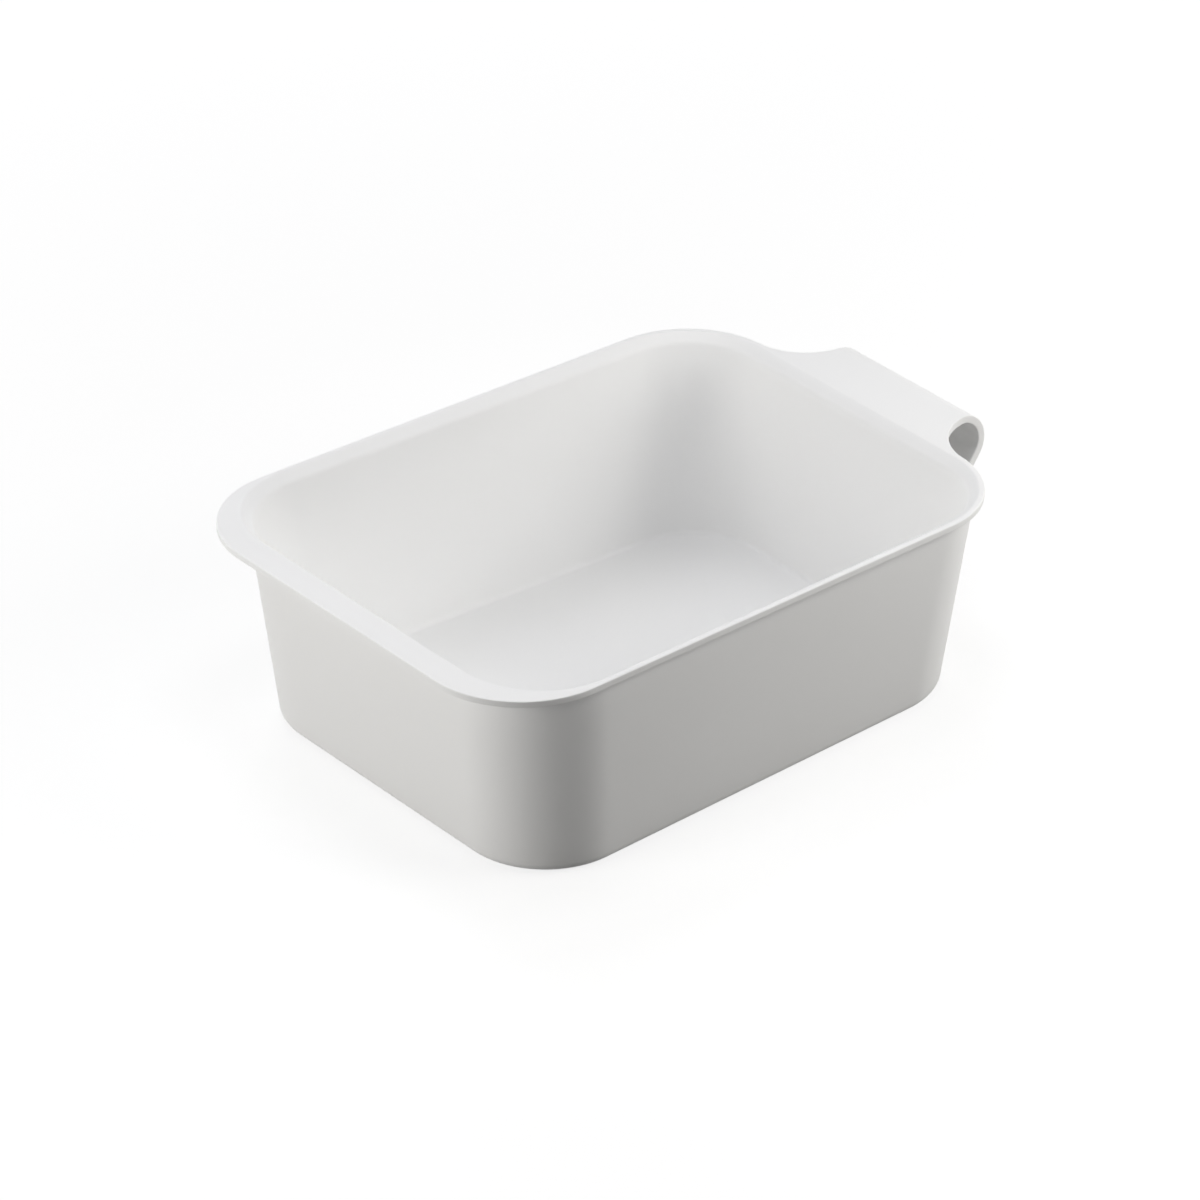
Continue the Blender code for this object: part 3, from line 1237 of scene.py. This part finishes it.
@dataclass(frozen=True)
class Studio:
    """A plain white studio: a pale floor, soft lamps and a camera at the photograph's view.

    The floor's glow is only seen, and lights nothing. It is `floor_glow` by the object, where the lamps
    light the floor as well, and grows to `far_glow` over the distances in `glow_fade`.
    """

    floor_size: float = 16.0
    floor_colour: Colour = (0.30, 0.30, 0.30)
    floor_glow: float = 0.78
    far_glow: float = 1.0
    glow_fade: tuple[float, float] = (0.35, 1.6)
    camera_position: Place = (-1.58235, -1.88260, 1.50780)
    camera_azimuth: float = math.radians(39.6536)
    camera_elevation: float = math.radians(30.7487)
    camera_lens: float = 193.76
    camera_reach: float = 64.0
    lamps: tuple[Softbox, ...] = (
        Softbox("low_left_softbox", 168.0, 10.0, 1.2, 0.6, 0.6, 6.8, WARM_WHITE),
        Softbox("left_softbox", 168.0, 22.0, 1.2, 0.5, 0.5, 1.05, WARM_WHITE),
        Softbox("right_softbox", 305.0, 32.0, 0.9, 0.36, 0.4, 3.1, WARM_WHITE),
        Softbox("far_right_softbox", 330.0, 20.0, 0.9, 0.36, 0.3, 1.7, WARM_WHITE),
        Softbox("low_back_softbox", 60.0, 25.0, 2.4, 1.1, 0.8, 5.15, COOL_WHITE),
        Softbox("high_back_softbox", 72.0, 60.0, 2.4, 1.2, 1.1, 14.5, COOL_WHITE),
        Softbox("overhead_softbox", 225.0, 82.0, 0.8, 0.3, 0.3, 1.25, COOL_WHITE),
        Softbox("flange_softbox", 150.0, 65.0, 0.45, 0.2, 0.2, 0.225, COOL_WHITE, aim=(-0.155, 0.07, 0.10)),
    )

    def build(self) -> None:
        """Builds the floor, the backdrop, the lamps and the camera."""
        self._floor()
        self._backdrop()
        for lamp in self.lamps:
            lamp.build()
            LOG.info("lamp %s", lamp.name)
        self._camera()

    def _floor(self) -> None:
        """Builds the floor, whose shadow shows on white."""
        shape = bmesh.new()
        bmesh.ops.create_grid(shape, x_segments=1, y_segments=1, size=self.floor_size / 2)
        mesh = bpy.data.meshes.new("studio_floor")
        shape.to_mesh(mesh)
        shape.free()
        floor = bpy.data.objects.new("studio_floor", mesh)
        bpy.context.scene.collection.objects.link(floor)
        material = bpy.data.materials.new("studio_floor")
        material.use_nodes = True
        graph = Graph(material.node_tree)
        seen = self._seen(graph)
        matt = graph.add("ShaderNodeBsdfDiffuse", {"Color": (*self.floor_colour, 1.0)})
        place = graph.add("ShaderNodeTexCoord").outputs["Object"]
        distance = graph.add("ShaderNodeVectorMath", {"Vector": place}, operation="LENGTH").outputs["Value"]
        level = graph.spread(distance, self.glow_fade, (self.floor_glow, self.far_glow))
        strength = graph.maths("MULTIPLY", seen, level)
        glow = graph.add("ShaderNodeEmission", {"Color": (*PLAIN_WHITE, 1.0), "Strength": strength})
        both = graph.add("ShaderNodeAddShader", {0: matt.outputs["BSDF"], 1: glow.outputs["Emission"]})
        graph.add("ShaderNodeOutputMaterial", {"Surface": both.outputs["Shader"]})
        mesh.materials.append(material)

    def _seen(self, graph: Graph) -> bpy.types.NodeSocket:
        """Tells the rays that see the background from those that light the object.

        Args:
            graph: The nodes to add to.

        Returns:
            1 for a camera, glossy or transmission ray, and 0 for any other.
        """
        path = graph.add("ShaderNodeLightPath").outputs
        glossy = graph.maths("MAXIMUM", path["Is Camera Ray"], path["Is Glossy Ray"])
        return graph.maths("MAXIMUM", glossy, path["Is Transmission Ray"])

    def _backdrop(self) -> None:
        """Builds the world, which is white where it is seen and lights nothing."""
        world = bpy.data.worlds.new("studio")
        world.use_nodes = True
        bpy.context.scene.world = world
        graph = Graph(world.node_tree)
        inputs = {"Color": (*PLAIN_WHITE, 1.0), "Strength": self._seen(graph)}
        white = graph.add("ShaderNodeBackground", inputs).outputs["Background"]
        graph.add("ShaderNodeOutputWorld", {"Surface": white})

    def _camera(self) -> None:
        """Builds the camera at the photograph's view."""
        data = bpy.data.cameras.new("photo_camera")
        data.lens = self.camera_lens
        data.clip_end = self.camera_reach
        camera = bpy.data.objects.new("photo_camera", data)
        camera.location = self.camera_position
        camera.rotation_euler = (math.pi / 2 - self.camera_elevation, 0.0, -self.camera_azimuth)
        bpy.context.scene.collection.objects.link(camera)
        bpy.context.scene.camera = camera


def main() -> None:
    """Builds the moulding zone by zone, then the studio."""
    logging.basicConfig(level=logging.INFO, format="%(name)s: %(message)s")
    bpy.context.scene.view_settings.view_transform = "Standard"
    form = BucketForm.from_frame()
    plate = GripPlate(form)
    pieces = (
        Tub(form).build(SatinPlastic("tub_satin_plastic")),
        Rim(form).build(SatinPlastic("rim_satin_plastic")),
        plate.build(SatinPlastic("plate_satin_plastic")),
        HookGrip(form, plate).build(SatinPlastic("grip_satin_plastic")),
    )
    for piece in pieces:
        LOG.info("piece %s: %d faces", piece.name, len(piece.data.polygons))
    Studio().build()


if __name__ == "__main__":
    main()
